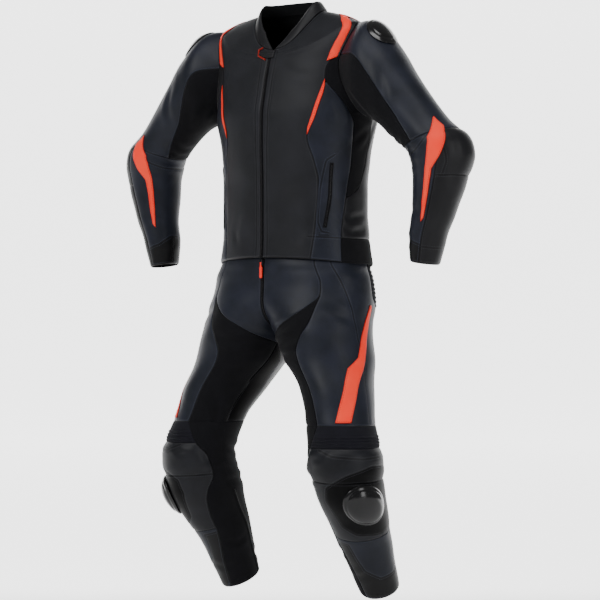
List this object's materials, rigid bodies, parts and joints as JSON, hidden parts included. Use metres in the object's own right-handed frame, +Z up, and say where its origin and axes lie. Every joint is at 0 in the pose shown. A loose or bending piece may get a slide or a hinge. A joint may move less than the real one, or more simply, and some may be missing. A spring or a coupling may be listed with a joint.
{
  "type": "motorcycle race suit",
  "caption": "Two-piece leather motorcycle race suit, jacket and trousers zipped for riding, filled out as if worn, with padded elbows and knees and hard sliders.",
  "frame": {"origin": "Middle of the neck base, level with the shoulders, where a hanger or a wearer's shoulders hold the suit.", "axes": "+Z up, -Y the front, +X the wearer's left."},
  "size_m": [1.0028, 0.3228, 1.3982],
  "materials": {
    "black_leather": "matte black cowhide with a fine grain, perforated on the chest",
    "grey_leather": "matte blue-black cowhide with a fine grain",
    "red_leather": "smooth orange-red leather strips",
    "stretch_fabric": "matte black woven stretch fabric",
    "hard_plastic": "polished black moulding",
    "zip_tape": "black woven tape with moulded teeth",
    "dark_metal": "black-coated die-cast zinc",
    "red_tab": "orange-red moulded pull tab"
  },
  "bodies": {
    "suit": {"front_left": "black_leather", "front_right": "black_leather", "side_front_left": "grey_leather", "side_front_right": "grey_leather", "side_stretch_left": "stretch_fabric", "side_stretch_right": "stretch_fabric", "shoulder_front_left": "black_leather", "shoulder_front_right": "black_leather", "back": "black_leather", "hem_band": "stretch_fabric", "collar": "black_leather", "front_zip": "zip_tape", "shoulder_stripe_left": "red_leather", "shoulder_stripe_right": "red_leather", "chest_stripe_left": "red_leather", "chest_stripe_right": "red_leather", "pocket_zip_left": "zip_tape", "pocket_zip_right": "zip_tape", "zip_tab": "black_leather", "sleeve_outer_left": "grey_leather", "sleeve_outer_right": "grey_leather", "sleeve_stretch_left": "stretch_fabric", "sleeve_stretch_right": "stretch_fabric", "elbow_pad_left": "black_leather", "elbow_pad_right": "black_leather", "forearm_outer_left": "black_leather", "forearm_outer_right": "black_leather", "forearm_inner_left": "grey_leather", "forearm_inner_right": "grey_leather", "sleeve_stripe_left": "red_leather", "sleeve_stripe_right": "red_leather", "shoulder_cap_left": "hard_plastic", "shoulder_cap_right": "hard_plastic", "fly_panel_left": "black_leather", "fly_panel_right": "black_leather", "inner_stretch_left": "stretch_fabric", "inner_stretch_right": "stretch_fabric", "thigh_front_left": "grey_leather", "thigh_front_right": "grey_leather", "hip_stretch_left": "stretch_fabric", "hip_stretch_right": "stretch_fabric", "seat_left": "black_leather", "seat_right": "black_leather", "knee_band_left": "stretch_fabric", "knee_band_right": "stretch_fabric", "knee_pad_left": "black_leather", "knee_pad_right": "black_leather", "knee_patch_left": "stretch_fabric", "knee_patch_right": "stretch_fabric", "shin_left": "black_leather", "shin_right": "black_leather", "calf_left": "stretch_fabric", "calf_right": "stretch_fabric", "thigh_stripe_left": "red_leather", "thigh_stripe_right": "red_leather", "knee_slider_left": "hard_plastic", "knee_slider_right": "hard_plastic", "fly_zip": "zip_tape", "fly_slider": "dark_metal"},
    "pull": {"fly_pull": "red_tab"}
  },
  "joints": [
    {"name": "pull_swing", "type": "hinge", "parent": "suit", "child": "pull", "pos_m": [0, -0.14027, -0.588], "axis": [-1, 0, 0], "range_deg": [0, 150]}
  ]
}
